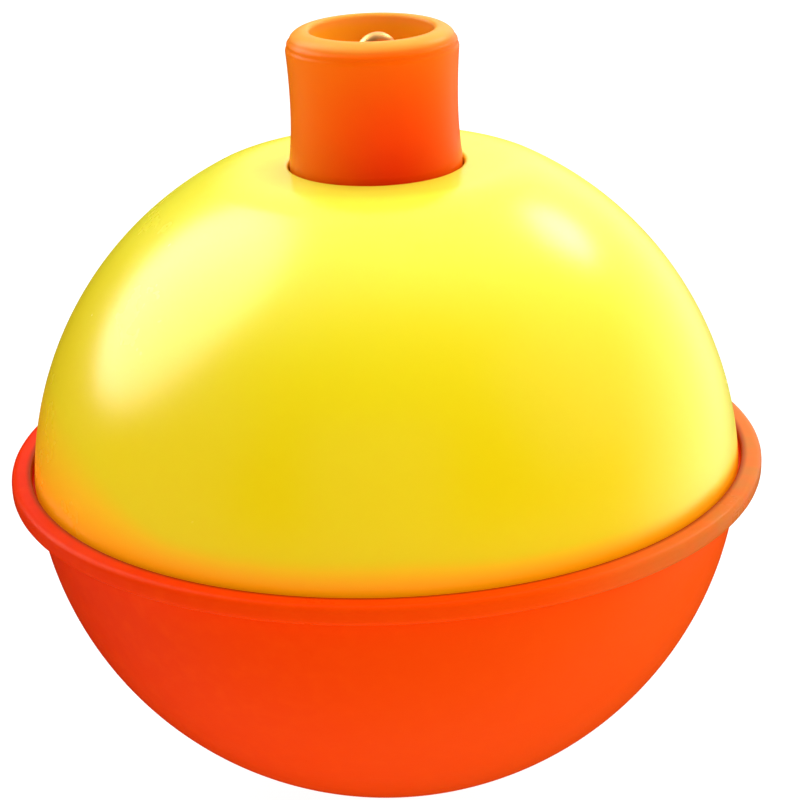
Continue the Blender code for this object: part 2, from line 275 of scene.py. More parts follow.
# Lights, in metres: direction from the float, distance, width and height, brightness and shape.
# The gloss panels show only in reflections, and the fill panels light only what is matt.
GLOSS_PANELS = {
    "left_softbox": ((-0.72, 0.30, 0.60), 0.40, (0.36, 0.44), 7.2, "ELLIPSE"),
    "right_lamp": ((0.604, 0.528, 0.598), 0.45, (0.12, 0.12), 12.0, "DISK"),
}
FILL_PANELS = {
    "overhead": ((0.0, 0.35, 1.0), 0.60, (0.9, 0.7), 2.0, "RECTANGLE"),
    "front_fill": ((-0.05, -0.9, 0.25), 0.50, (0.4, 0.4), 1.35, "RECTANGLE"),
    "right_fill": ((1.0, -0.35, 0.6), 0.50, (0.35, 0.35), 2.2, "RECTANGLE"),
    "left_fill": ((-1.0, -0.4, 0.35), 0.50, (0.35, 0.35), 1.1, "RECTANGLE"),
}


# ---------------------------------------------------------------- outlines

def arc_points(centre, radius, start, end, steps):
    """Points (r, z) round a centre, between two angles in radians, both ends included."""
    points = []
    for step in range(steps + 1):
        angle = start + (end - start) * step / steps
        points.append((centre[0] + radius * math.cos(angle), centre[1] + radius * math.sin(angle)))
    return points


def sphere_points(centre_z, radius, start, end, side):
    """Points on a sphere's outline from one distance off the axis to another; side +1 is above."""
    start_angle = side * math.acos(start / radius)
    end_angle = side * math.acos(end / radius)
    return arc_points((0.0, centre_z), radius, start_angle, end_angle, SPHERE_STEPS)


def radius_at(centre_z, radius, z):
    """Distance off the axis of a sphere's surface at height z."""
    return math.sqrt(radius ** 2 - (z - centre_z) ** 2)


def bend_points(start, corner, end, steps):
    """Points along a quadratic bend from start to end, pulled towards the corner."""
    start, corner, end = Vector(start), Vector(corner), Vector(end)
    points = []
    for step in range(steps + 1):
        share = step / steps
        point = start.lerp(corner, share).lerp(corner.lerp(end, share), share)
        points.append((point.x, point.y))
    return points


class Outline:
    """The outline (r, z) of a turned piece. Corners given a softness are rounded when it is read."""

    def __init__(self, closed):
        self.closed = closed
        self.points = []
        self.softness = []

    def to(self, r, z, soft=0.0):
        """Adds a straight run to a point, whose corner is rounded over the length soft."""
        self.points.append(Vector((r, z)))
        self.softness.append(soft)

    def along(self, points, first_soft=0.0, last_soft=0.0):
        """Adds a run of points, such as an arc, whose first and last corners may be rounded."""
        for r, z in points:
            self.to(r, z)
        self.softness[len(self.points) - len(points)] = first_soft
        self.softness[-1] = last_soft

    def walk(self, index, direction, length):
        """The point at a length along the outline from a corner, and how many corners it passes."""
        count = len(self.points)
        here = self.points[index]
        passed = 0
        while True:
            nxt = self.points[(index + direction * (passed + 1)) % count]
            step = (nxt - here).length
            if step > length:
                return here.lerp(nxt, length / step), passed
            length -= step
            here = nxt
            passed += 1

    def read(self):
        """The finished points: soft corners rounded, and a support point by each long run's ends."""
        count = len(self.points)
        rounded = {}
        dropped = set()
        for index, soft in enumerate(self.softness):
            if soft > 0.0:
                start, before = self.walk(index, -1, soft)
                end, after = self.walk(index, 1, soft)
                corner = self.points[index]
                bend = bend_points(start, corner, end, SOFT_STEPS)
                rounded[index] = [Vector(point) for point in bend]
                dropped.update((index - k) % count for k in range(1, before + 1))
                dropped.update((index + k) % count for k in range(1, after + 1))
        points = []
        for index, point in enumerate(self.points):
            if index in rounded:
                points += rounded[index]
            elif index not in dropped:
                points.append(point)
        return self.supported(points)

    def supported(self, points):
        """Adds a point close to each end of every long straight run, so it shades flat."""
        result = []
        pairs = list(zip(points, points[1:]))
        if self.closed:
            pairs.append((points[-1], points[0]))
        for start, end in pairs:
            result.append(start)
            length = (end - start).length
            if length > 4.0 * SUPPORT_EDGE:
                result.append(start.lerp(end, SUPPORT_EDGE / length))
                result.append(start.lerp(end, 1.0 - SUPPORT_EDGE / length))
        if not self.closed:
            result.append(points[-1])
        return result


# ---------------------------------------------------------------- meshes

def link(name, data):
    """A new object in the scene."""
    item = bpy.data.objects.new(name, data)
    bpy.context.scene.collection.objects.link(item)
    return item


def to_mesh(name, shape):
    """The mesh of a bmesh, which is freed."""
    mesh = bpy.data.meshes.new(name)
    shape.to_mesh(mesh)
    shape.free()
    return mesh


def shade(mesh):
    """Smooth shading, with the true edges kept sharp."""
    mesh.shade_smooth()
    mesh.set_sharp_from_angle(angle=SHARP_ANGLE)


def add_piece(name, shape):
    """Put a closed bmesh in the scene as a shaded piece, with its faces turned outwards."""
    bmesh.ops.recalc_face_normals(shape, faces=shape.faces)
    mesh = to_mesh(name, shape)
    shade(mesh)
    return link(name, mesh)


def lathe(name, outline, segments):
    """Turn an outline round the Z axis into one closed mesh of quads."""
    shape = bmesh.new()
    rings = []
    for point in outline.read():
        if point.x < MERGE_DISTANCE:
            rings.append([shape.verts.new((0.0, 0.0, point.y))])
            continue
        ring = []
        for step in range(segments):
            angle = math.tau * step / segments
            ring.append(shape.verts.new((point.x * math.cos(angle), point.x * math.sin(angle), point.y)))
        rings.append(ring)
    pairs = list(zip(rings, rings[1:]))
    if outline.closed:
        pairs.append((rings[-1], rings[0]))
    for low, high in pairs:
        join_rings(shape, low, high)
    return add_piece(name, shape)


def join_rings(shape, low, high):
    """Faces between two rings of corners; a ring of one corner is a point."""
    count = max(len(low), len(high))
    for step in range(count):
        after = (step + 1) % count
        corners = [
            low[step % len(low)],
            low[after % len(low)],
            high[after % len(high)],
            high[step % len(high)],
        ]
        shape.faces.new(list(dict.fromkeys(corners)))


def sweep(name, path, radii, sides):
    """A round rod along a path, with a radius at each point and closed ends."""
    shape = bmesh.new()
    rings = []
    count = len(path)
    tangents = [(path[min(k + 1, count - 1)] - path[max(k - 1, 0)]).normalized() for k in range(count)]
    across = tangents[0].orthogonal().normalized()
    for k, point in enumerate(path):
        across = (across - tangents[k] * across.dot(tangents[k])).normalized()
        other = tangents[k].cross(across)
        ring = []
        for step in range(sides):
            angle = math.tau * step / sides
            offset = across * math.cos(angle) + other * math.sin(angle)
            ring.append(shape.verts.new(point + offset * radii[k]))
        rings.append(ring)
    for low, high in zip(rings, rings[1:]):
        join_rings(shape, low, high)
    shape.faces.new(rings[0])
    shape.faces.new(rings[-1])
    return add_piece(name, shape)


def with_round_ends(path, radius):
    """The path and the radii of a rod whose two ends are rounded over."""
    steps = WIRE_END_STEPS
    trim = radius * WIRE_END_ROUND_SHARE
    end_shares = [1.0 - math.cos(QUARTER * step / steps) for step in range(steps)]
    end_radii = [radius - trim * (1.0 - math.sin(QUARTER * step / steps)) for step in range(steps)]
    start_way = (path[1] - path[0]).normalized()
    end_way = (path[-2] - path[-1]).normalized()
    start_points = [path[0] + start_way * trim * share for share in end_shares]
    end_points = [path[-1] + end_way * trim * share for share in end_shares]
    middle = [p for p in path if (p - path[0]).length > trim and (p - path[-1]).length > trim]
    points = start_points + middle + end_points[::-1]
    radii = end_radii + [radius] * len(middle) + end_radii[::-1]
    return points, radii


def cut_wire_hole(item, low_z, high_z):
    """Cut the hole that the hook wire slides in, and apply the cut to the mesh."""
    shape = bmesh.new()
    bmesh.ops.create_cone(
        shape,
        cap_ends=True,
        segments=HOLE_SEGMENTS,
        radius1=WIRE_HOLE_RADIUS,
        radius2=WIRE_HOLE_RADIUS,
        depth=high_z - low_z,
        matrix=Matrix.Translation((WIRE_X, WIRE_Y, (low_z + high_z) / 2.0)),
    )
    cutter = link("wire_hole", to_mesh("wire_hole", shape))
    cut = item.modifiers.new("Wire hole", "BOOLEAN")
    cut.operation = "DIFFERENCE"
    cut.solver = "EXACT"
    cut.object = cutter
    depsgraph = bpy.context.evaluated_depsgraph_get()
    finished = bpy.data.meshes.new_from_object(item.evaluated_get(depsgraph))
    item.modifiers.clear()
    item.data = finished
    shade(finished)
    bpy.data.objects.remove(cutter, do_unlink=True)


# ---------------------------------------------------------------- pieces

def make_upper_shell():
    """Dome with its land, the button's well, the well's floor and the socket under it."""
    step_z = MIDDLE_Z + DOME_STEP_ABOVE_MIDDLE
    floor_under_z = WELL_FLOOR_Z - WELL_FLOOR_THICKNESS
    socket_bore = TUBE_RADIUS + FIT_GAP
    socket_radius = socket_bore + SOCKET_WALL
    well_outer = WELL_RADIUS + WELL_WALL
    spigot_end_z = MIDDLE_Z - SPIGOT_LENGTH
    dome_step_radius = radius_at(DOME_CENTRE_Z, BALL_RADIUS, step_z)
    blend_z = DOME_CENTRE_Z + math.sqrt(BALL_RADIUS ** 2 - LAND_BLEND_RADIUS ** 2)
    land_corner = radius_at(DOME_CENTRE_Z, BALL_RADIUS, LAND_Z)

    outline = Outline(closed=True)
    dome = sphere_points(DOME_CENTRE_Z, BALL_RADIUS, dome_step_radius, LAND_BLEND_RADIUS, 1.0)
    outline.along(dome, first_soft=0.08 * MM)
    land_start = (LAND_BLEND_RADIUS, blend_z)
    land_end = (LAND_FLAT_RADIUS, LAND_Z)
    land = bend_points(land_start, (land_corner, LAND_Z), land_end, LAND_STEPS)
    outline.along(land[1:])
    outline.to(WELL_RADIUS, LAND_Z, soft=LAND_HOLE_ROUND)
    outline.to(WELL_RADIUS, WELL_FLOOR_Z, soft=0.3 * MM)
    outline.to(TUBE_BORE_RADIUS, WELL_FLOOR_Z, soft=0.15 * MM)
    outline.to(TUBE_BORE_RADIUS, floor_under_z, soft=0.1 * MM)
    outline.to(socket_bore, floor_under_z, soft=0.1 * MM)
    outline.to(socket_bore, SOCKET_END_Z, soft=0.2 * MM)
    outline.to(socket_radius, SOCKET_END_Z, soft=0.2 * MM)
    outline.to(socket_radius, floor_under_z, soft=0.3 * MM)
    outline.to(well_outer, floor_under_z, soft=0.4 * MM)
    inner = sphere_points(DOME_CENTRE_Z, INNER_RADIUS, well_outer, SPIGOT_BORE_RADIUS, 1.0)
    outline.along(inner, first_soft=0.6 * MM)
    outline.to(SPIGOT_BORE_RADIUS, spigot_end_z, soft=0.12 * MM)
    outline.to(SPIGOT_RADIUS, spigot_end_z, soft=0.12 * MM)
    outline.to(SPIGOT_RADIUS, step_z, soft=0.1 * MM)
    return lathe("dome_and_well", outline, SHELL_SEGMENTS)


def make_lower_shell():
    """Bowl with its collar, the nub, the wire tube and the web that stops the bottom hook."""
    collar_low_z = MIDDLE_Z - COLLAR_BELOW_MIDDLE
    join_z = collar_low_z - COLLAR_UNDERSIDE_DROP
    ledge_z = MIDDLE_Z + DOME_STEP_ABOVE_MIDDLE - LEDGE_GAP
    seat_z = MIDDLE_Z - SPIGOT_LENGTH - LEDGE_GAP
    tube_end_z = WELL_FLOOR_Z - WELL_FLOOR_THICKNESS - TUBE_END_GAP
    web_top_z = HOOK_CHAMBER_DEPTH + BOTTOM_WEB_THICKNESS
    join_radius = radius_at(BOWL_CENTRE_Z, BALL_RADIUS, join_z)
    seat_radius = radius_at(BOWL_CENTRE_Z, INNER_RADIUS, seat_z)

    outline = Outline(closed=False)
    outline.to(0.0, HOOK_CHAMBER_DEPTH)
    outline.to(HOOK_CHAMBER_RADIUS, HOOK_CHAMBER_DEPTH, soft=0.15 * MM)
    outline.to(HOOK_CHAMBER_RADIUS, 0.0, soft=0.2 * MM)
    outline.to(TUBE_RADIUS, 0.0, soft=NUB_TIP_ROUND)
    bowl = sphere_points(BOWL_CENTRE_Z, BALL_RADIUS, TUBE_RADIUS, join_radius, -1.0)
    outline.along(bowl, first_soft=NUB_ROOT_ROUND, last_soft=0.25 * MM)
    outline.to(COLLAR_RADIUS, collar_low_z, soft=COLLAR_ROUND)
    outline.to(COLLAR_RADIUS, COLLAR_TOP_Z, soft=COLLAR_ROUND)
    outline.to(BALL_RADIUS + FIT_GAP, COLLAR_TOP_Z, soft=0.1 * MM)
    outline.to(BALL_RADIUS + FIT_GAP, ledge_z, soft=0.06 * MM)
    outline.to(SPIGOT_RADIUS + FIT_GAP, ledge_z, soft=0.1 * MM)
    outline.to(SPIGOT_RADIUS + FIT_GAP, seat_z, soft=0.1 * MM)
    inner = sphere_points(BOWL_CENTRE_Z, INNER_RADIUS, seat_radius, TUBE_RADIUS, -1.0)
    outline.along(inner, last_soft=0.6 * MM)
    outline.to(TUBE_RADIUS, tube_end_z, soft=0.12 * MM)
    outline.to(TUBE_BORE_RADIUS, tube_end_z, soft=0.12 * MM)
    outline.to(TUBE_BORE_RADIUS, web_top_z, soft=0.2 * MM)
    outline.to(0.0, web_top_z)
    shell = lathe("bowl_and_collar", outline, SHELL_SEGMENTS)
    cut_wire_hole(
        shell,
        HOOK_CHAMBER_DEPTH - BOTTOM_WEB_THICKNESS / 2.0,
        web_top_z + BOTTOM_WEB_THICKNESS / 2.0,
    )
    return shell


def button_side(depth):
    """Radius of the button's waisted side at a depth below its top."""
    if depth < BUTTON_WAIST_DEPTH:
        share = (BUTTON_WAIST_DEPTH - depth) / (BUTTON_WAIST_DEPTH - RIM_OUTER_ROUND)
        flare = BUTTON_RIM_RADIUS - BUTTON_WAIST_RADIUS
    else:
        share = (depth - BUTTON_WAIST_DEPTH) / (BUTTON_BASE_DEPTH - BUTTON_WAIST_DEPTH)
        flare = BUTTON_BASE_RADIUS - BUTTON_WAIST_RADIUS
    return BUTTON_WAIST_RADIUS + flare * share ** 2


def rim_line(depth):
    """How far the fine lines round the rim cut in, at a depth below the button's top."""
    return sum(RIM_LINE_CUT * math.exp(-((depth - line) / RIM_LINE_WIDTH) ** 2) for line in RIM_LINE_DEPTHS)


def make_push_button():
    """Waisted cap with a rounded rim, a recess for the top hook, a web and a spring skirt."""
    recess_floor_z = BUTTON_TOP_Z - RECESS_DEPTH
    web_under_z = recess_floor_z - BUTTON_WEB_THICKNESS

    outline = Outline(closed=False)
    outline.to(0.0, recess_floor_z)
    outline.to(RECESS_RADIUS - RECESS_DRAFT, recess_floor_z, soft=0.4 * MM)
    inner_centre = (RECESS_RADIUS + RIM_INNER_ROUND, BUTTON_TOP_Z - RIM_INNER_ROUND)
    outline.along(arc_points(inner_centre, RIM_INNER_ROUND, math.pi, QUARTER, RIM_INNER_STEPS))
    outer_centre = (BUTTON_RIM_RADIUS - RIM_OUTER_ROUND, BUTTON_TOP_Z - RIM_OUTER_ROUND)
    for r, z in arc_points(outer_centre, RIM_OUTER_ROUND, QUARTER, 0.0, RIM_OUTER_STEPS):
        outline.to(r - rim_line(BUTTON_TOP_Z - z), z)
    for step in range(1, BUTTON_SIDE_STEPS + 1):
        depth = RIM_OUTER_ROUND + (BUTTON_BASE_DEPTH - RIM_OUTER_ROUND) * step / BUTTON_SIDE_STEPS
        outline.to(button_side(depth) - rim_line(depth), BUTTON_TOP_Z - depth)
    outline.to(BUTTON_BASE_RADIUS, BUTTON_TOP_Z - BUTTON_BASE_DEPTH - SKIRT_STRAIGHT_TOP)
    outline.to(BUTTON_BASE_RADIUS, BUTTON_BOTTOM_Z, soft=0.2 * MM)
    outline.to(SKIRT_BORE_RADIUS, BUTTON_BOTTOM_Z, soft=0.2 * MM)
    outline.to(SKIRT_BORE_RADIUS, web_under_z, soft=0.3 * MM)
    outline.to(0.0, web_under_z)
    button = lathe("waisted_button", outline, BUTTON_SEGMENTS)
    cut_wire_hole(
        button,
        web_under_z - BUTTON_WEB_THICKNESS / 2.0,
        recess_floor_z + BUTTON_WEB_THICKNESS / 2.0,
    )
    return button


def hook_points(bend_radius, bend_z, tip_z, heading, side):
    """Points from the main wire round a half-turn bend and back to the hook's tip.

    bend_z is the height of the bend's centre, and side is +1 for the top hook, -1 for the
    bottom one. The heading is the direction from the main wire to the hook's short leg.
    """
    points = []
    across = Vector((math.cos(heading), math.sin(heading), 0.0))
    main = Vector((WIRE_X, WIRE_Y, 0.0))
    for step in range(HOOK_STEPS + 1):
        angle = math.pi * step / HOOK_STEPS
        offset = bend_radius * (1.0 - math.cos(angle))
        height = bend_z + side * bend_radius * math.sin(angle)
        points.append(main + across * offset + Vector((0.0, 0.0, height)))
    leg = main + across * 2.0 * bend_radius
    for step in range(1, HOOK_LEG_STEPS + 1):
        z = bend_z + (tip_z - bend_z) * step / HOOK_LEG_STEPS
        points.append(Vector((leg.x, leg.y, z)))
    return points


def make_hook_wire():
    """One brass wire with a hook at each end."""
    bottom_bend_z = wire_low.z + BOTTOM_BEND_RADIUS + WIRE_DIAMETER / 2.0
    top_bend_z = wire_high.z - TOP_BEND_RADIUS - WIRE_DIAMETER / 2.0
    bottom_tip_z = HOOK_CHAMBER_DEPTH - HOOK_TIP_GAP
    top_tip_z = BUTTON_TOP_Z - RECESS_DEPTH + HOOK_TIP_GAP
    bottom = hook_points(BOTTOM_BEND_RADIUS, bottom_bend_z, bottom_tip_z, BOTTOM_HOOK_HEADING, -1.0)
    top = hook_points(TOP_BEND_RADIUS, top_bend_z, top_tip_z, TOP_HOOK_HEADING, 1.0)
    path, radii = with_round_ends(bottom[::-1] + top, WIRE_DIAMETER / 2.0)
    return sweep("double_hook_wire", path, radii, WIRE_SIDES)


def spring_point(turn):
    """Centre of the spring's wire at a number of turns from its bottom end."""
    half_wire = SPRING_WIRE_DIAMETER / 2.0
    low_z = spring_low.z + half_wire
    high_z = spring_high.z - half_wire
    live_turns = SPRING_TURNS - 2.0 * SPRING_DEAD_TURNS
    live_rise = high_z - low_z - 2.0 * SPRING_DEAD_TURNS * SPRING_DEAD_PITCH
    live = min(max(turn - SPRING_DEAD_TURNS, 0.0), live_turns)
    z = low_z + (turn - live) * SPRING_DEAD_PITCH + live_rise * live / live_turns
    angle = math.tau * turn
    return Vector((SPRING_MEAN_RADIUS * math.cos(angle), SPRING_MEAN_RADIUS * math.sin(angle), z))


def make_spring_half(name, first_turn, last_turn):
    """Half of the coil. The two halves meet end to end."""
    steps = round((last_turn - first_turn) * SPRING_STEPS_PER_TURN)
    path = [spring_point(first_turn + (last_turn - first_turn) * k / steps) for k in range(steps + 1)]
    radii = [SPRING_WIRE_DIAMETER / 2.0] * len(path)
    return sweep(name, path, radii, SPRING_SIDES)


# ---------------------------------------------------------------- nodes

class Nodes:
    """Short ways to add and join the nodes of a material or of the world."""

    def __init__(self, tree, place):
        self.tree = tree
        self.place = self.add("ShaderNodeTexCoord").outputs[place]

    def add(self, kind, **settings):
        """A node with its properties set."""
        node = self.tree.nodes.new(kind)
        for key, value in settings.items():
            setattr(node, key, value)
        return node

    def join(self, source, target):
        """A link, or a plain value, into a socket."""
        if isinstance(source, bpy.types.NodeSocket):
            self.tree.links.new(source, target)
        else:
            target.default_value = source

    def noise(self, scale, detail=4.0, roughness=0.55, place=None):
        """A noise value from 0 to 1; the scale is in features for each metre."""
        node = self.add("ShaderNodeTexNoise")
        self.join(place or self.place, node.inputs["Vector"])
        node.inputs["Scale"].default_value = scale
        node.inputs["Detail"].default_value = detail
        node.inputs["Roughness"].default_value = roughness
        return node.outputs["Fac"]

    def stretched(self, scale):
        """The place, scaled on each axis, for textures that run one way."""
        node = self.add("ShaderNodeMapping")
        self.join(self.place, node.inputs["Vector"])
        node.inputs["Scale"].default_value = scale
        return node.outputs["Vector"]

    def ranged(self, value, low, high, out_low, out_high, smooth=False):
        """A value mapped from one range to another and clamped."""
        node = self.add("ShaderNodeMapRange", clamp=True)
        if smooth:
            node.interpolation_type = "SMOOTHSTEP"
        self.join(value, node.inputs["Value"])
        node.inputs["From Min"].default_value = low
        node.inputs["From Max"].default_value = high
        node.inputs["To Min"].default_value = out_low
        node.inputs["To Max"].default_value = out_high
        return node.outputs["Result"]

    def math(self, operation, first, second):
        """One sum of two values."""
        node = self.add("ShaderNodeMath", operation=operation)
        self.join(first, node.inputs[0])
        self.join(second, node.inputs[1])
        return node.outputs["Value"]

    def squared(self, value):
        """A value times itself."""
        return self.math("MULTIPLY", value, value)

    def axes(self):
        """The place's X, Y and Z."""
        node = self.add("ShaderNodeSeparateXYZ")
        self.join(self.place, node.inputs["Vector"])
        return node.outputs["X"], node.outputs["Y"], node.outputs["Z"]

    def off_axis(self, x, y):
        """The distance from the Z axis."""
        return self.math("POWER", self.math("ADD", self.squared(x), self.squared(y)), 0.5)


class Skin(Nodes):
    """The nodes of one material, whose textures lie in the object's own coordinates."""

    def __init__(self, name):
        self.material = bpy.data.materials.new(name)
        self.material.use_nodes = True
        super().__init__(self.material.node_tree, "Object")
        self.shader = self.tree.nodes["Principled BSDF"]

    def put(self, socket, source):
        """A link, or a plain value, into one of the shader's own sockets."""
        self.join(source, self.shader.inputs[socket])

    def mix(self, share, first, second):
        """A colour between two colours, each of them a socket or three numbers."""
        node = self.add("ShaderNodeMix", data_type="RGBA")
        self.join(share, node.inputs["Factor"])
        for source, target in ((first, MIX_COLOUR_A), (second, MIX_COLOUR_B)):
            colour = (*source, 1.0) if isinstance(source, tuple) else source
            self.join(colour, node.inputs[target])
        return node.outputs[MIX_COLOUR_RESULT]

    def mottled(self, body, colour, scale, detail, start, end, most):
        """A colour with patches of another, growing up to a share as the noise goes from start to end."""
        patches = self.noise(scale, detail=detail)
        return self.mix(self.ranged(patches, start, end, 0.0, most), body, colour)

    def ramp(self, value, low, high, colours):
        """A colour that runs smoothly through a few colours as a value goes from low to high."""
        node = self.add("ShaderNodeValToRGB")
        node.color_ramp.interpolation = "B_SPLINE"
        stops = node.color_ramp.elements
        while len(stops) < len(colours):
            stops.new(0.5)
        for index, colour in enumerate(colours):
            stops[index].position = index / (len(colours) - 1)
            stops[index].color = (*colour, 1.0)
        self.join(self.ranged(value, low, high, 0.0, 1.0), node.inputs["Fac"])
        return node.outputs["Color"]

    def bump(self, height, distance, under=None):
        """Small relief: height 0 to 1 over a distance in metres, on top of the relief under it."""
        node = self.add("ShaderNodeBump")
        node.inputs["Distance"].default_value = distance
        self.join(height, node.inputs["Height"])
        if under is not None:
            self.join(under, node.inputs["Normal"])
        return node.outputs["Normal"]


# ---------------------------------------------------------------- materials

def plastic_relief(skin, peel_depth):
    """Moulded skin: a soft sink about every centimetre, orange peel, and fine grain."""
    sink = skin.noise(70.0, detail=1.0)
    peel = skin.noise(420.0, detail=2.0)
    grain = skin.noise(5200.0, detail=3.0)
    normal = skin.bump(sink, peel_depth * SINK_TO_PEEL)
    normal = skin.bump(peel, peel_depth, under=normal)
    return skin.bump(grain, peel_depth * GRAIN_TO_PEEL, under=normal)


def plastic_roughness(skin, low, high):
    """Roughness that wanders between two values."""
    smears = skin.noise(120.0, detail=5.0, roughness=0.65)
    return skin.ranged(smears, 0.3, 0.7, low, high)


def scuffed(skin, roughness):
    """A roughness with fine handling scuffs that run one way."""
    scuffs = skin.noise(1.0, place=skin.stretched(SCUFF_SCALES))
    return skin.math("ADD", roughness, skin.ranged(scuffs, 0.55, 0.75, 0.0, SCUFF_ROUGHNESS))


def finish_plastic(skin, specular, tint, scatter, scatter_radii, scatter_depth):
    """What is the same all over a plastic: its gloss, and the light that wanders inside it."""
    skin.put("IOR", PLASTIC_IOR)
    skin.put("Specular IOR Level", specular)
    skin.put("Specular Tint", (*tint, 1.0))
    skin.put("Subsurface Weight", scatter)
    skin.put("Subsurface Radius", scatter_radii)
    skin.put("Subsurface Scale", scatter_depth)


def painted_collar_glow(skin, x, height):
    """Share of painted orange glow in the dome by its height above the collar, highest at the left."""
    wobble = skin.math("MULTIPLY", skin.noise(140.0, detail=2.0), GLOW_WOBBLE)
    left_reach = skin.ranged(x, -BALL_RADIUS, -GLOW_TURN_X, GLOW_LEFT, GLOW_FRONT, smooth=True)
    right_loss = skin.ranged(x, 0.0, BALL_RADIUS, 0.0, GLOW_FRONT - GLOW_RIGHT)
    reach = skin.math("SUBTRACT", left_reach, right_loss)
    share = skin.math("DIVIDE", skin.math("SUBTRACT", height, wobble), reach)
    return skin.ranged(share, GLOW_FULL_SHARE, 1.0, GLOW_MOST, 0.0, smooth=True)


def make_yellow():
    """Dome: painted light makes it lemon at the top and golden lower down, a painted reflection makes it
    pale at the right, and a painted orange glow lies next to the collar.
    """
    skin = Skin("yellow_plastic_skin")
    x, _, z = skin.axes()
    height = skin.math("SUBTRACT", z, COLLAR_TOP_Z)
    # Painted light: the dome is lemon and paler towards the top, where the overhead light falls, and golden
    # lower down.
    body = skin.ramp(height, 0.0, LAND_Z - COLLAR_TOP_Z, YELLOW_PAINTED_LIGHT_BY_HEIGHT)
    body = skin.mottled(body, YELLOW_CLOUD, scale=90.0, detail=3.0, start=0.35, end=0.7, most=0.22)
    body = skin.mottled(body, YELLOW_FLECK, scale=900.0, detail=4.0, start=0.45, end=0.75, most=0.10)
    # Painted reflection: the dome grows pale towards its right edge, standing in for the bright
    # surroundings reflected there.
    right = skin.ranged(x, 0.55 * BALL_RADIUS, BALL_RADIUS, 0.0, 0.7, smooth=True)
    body = skin.mix(right, body, YELLOW_PAINTED_REFLECTION_RIGHT)
    # Painted glow: orange from the collar is mixed into the dome's colour and given off as a faint orange
    # emission, though the dome is no lamp.
    glow = painted_collar_glow(skin, x, height)
    skin.put("Base Color", skin.mix(glow, body, YELLOW_PAINTED_GLOW))
    skin.put("Emission Color", (*YELLOW_PAINTED_GLOW, 1.0))
    skin.put("Emission Strength", skin.math("MULTIPLY", glow, GLOW_STRENGTH))
    skin.put("Roughness", plastic_roughness(skin, 0.23, 0.28))
    skin.put("Normal", plastic_relief(skin, YELLOW_PEEL_DEPTH))
    finish_plastic(
        skin,
        specular=0.38,
        tint=(1.0, 0.92, 0.75),
        scatter=0.12,
        scatter_radii=(1.0, 0.6, 0.1),
        scatter_depth=1.2 * MM,
    )
    return skin.material


def make_orange():
    """Bowl and collar: painted shade makes them darker and redder at the left, painted light makes them
    lighter and more orange at the right, and a painted reflection makes the collar's right end pale brown.

    Painted shade darkens the collar in a thin line where it meets the dome, in the gap between them.
    """
    skin = Skin("orange_plastic_skin")
    x, y, z = skin.axes()
    # Painted light and shade: darker and redder at the left, lighter at the right where more light falls.
    body = skin.ramp(x, -BALL_RADIUS, BALL_RADIUS, ORANGE_PAINTED_SHADE_BY_SIDE)
    body = skin.mottled(body, ORANGE_CLOUD, scale=80.0, detail=3.0, start=0.3, end=0.7, most=0.35)
    body = skin.mottled(body, ORANGE_FLECK, scale=1100.0, detail=4.0, start=0.45, end=0.75, most=0.15)
    across = skin.off_axis(x, y)
    # Painted reflection: the collar's outer face turns a patchy pale brown towards its right end, standing
    # in for a dim reflection of the bright surroundings.
    reflection_start = BALL_RADIUS + PAINTED_REFLECTION_BAND[0]
    reflection_end = BALL_RADIUS + PAINTED_REFLECTION_BAND[1]
    collar = skin.ranged(across, reflection_start, reflection_end, 0.0, 1.0, smooth=True)
    patchy = skin.ranged(skin.noise(300.0), 0.35, 0.65, 0.55, 0.9)
    right_end = skin.ranged(x, 0.35 * BALL_RADIUS, 0.95 * BALL_RADIUS, 0.0, 1.0, smooth=True)
    painted_reflection = skin.math("MULTIPLY", collar, skin.math("MULTIPLY", patchy, right_end))
    body = skin.mix(painted_reflection, body, ORANGE_PAINTED_REFLECTION)
    # Painted shade: a dark line on the collar next to the dome, standing in for the shadow in the gap
    # between them.
    seam_start = BALL_RADIUS + SEAM_SHADE_BAND[0]
    seam_end = BALL_RADIUS + SEAM_SHADE_BAND[1]
    by_dome = skin.ranged(across, seam_start, seam_end, SEAM_SHADE_MOST, 0.0, smooth=True)
    near_top = skin.ranged(z, COLLAR_TOP_Z - SEAM_SHADE_DEPTHS[0], COLLAR_TOP_Z - SEAM_SHADE_DEPTHS[1], 0.0, 1.0)
    seam_shade = skin.math("MULTIPLY", by_dome, near_top)
    skin.put("Base Color", skin.mix(seam_shade, body, ORANGE_SEAM_SHADE))
    skin.put("Roughness", scuffed(skin, plastic_roughness(skin, 0.26, 0.36)))
    skin.put("Normal", plastic_relief(skin, ORANGE_PEEL_DEPTH))
    finish_plastic(
        skin,
        specular=0.03,
        tint=(1.0, 0.7, 0.3),
        scatter=0.10,
        scatter_radii=(1.0, 0.3, 0.05),
        scatter_depth=1.0 * MM,
    )
    return skin.material


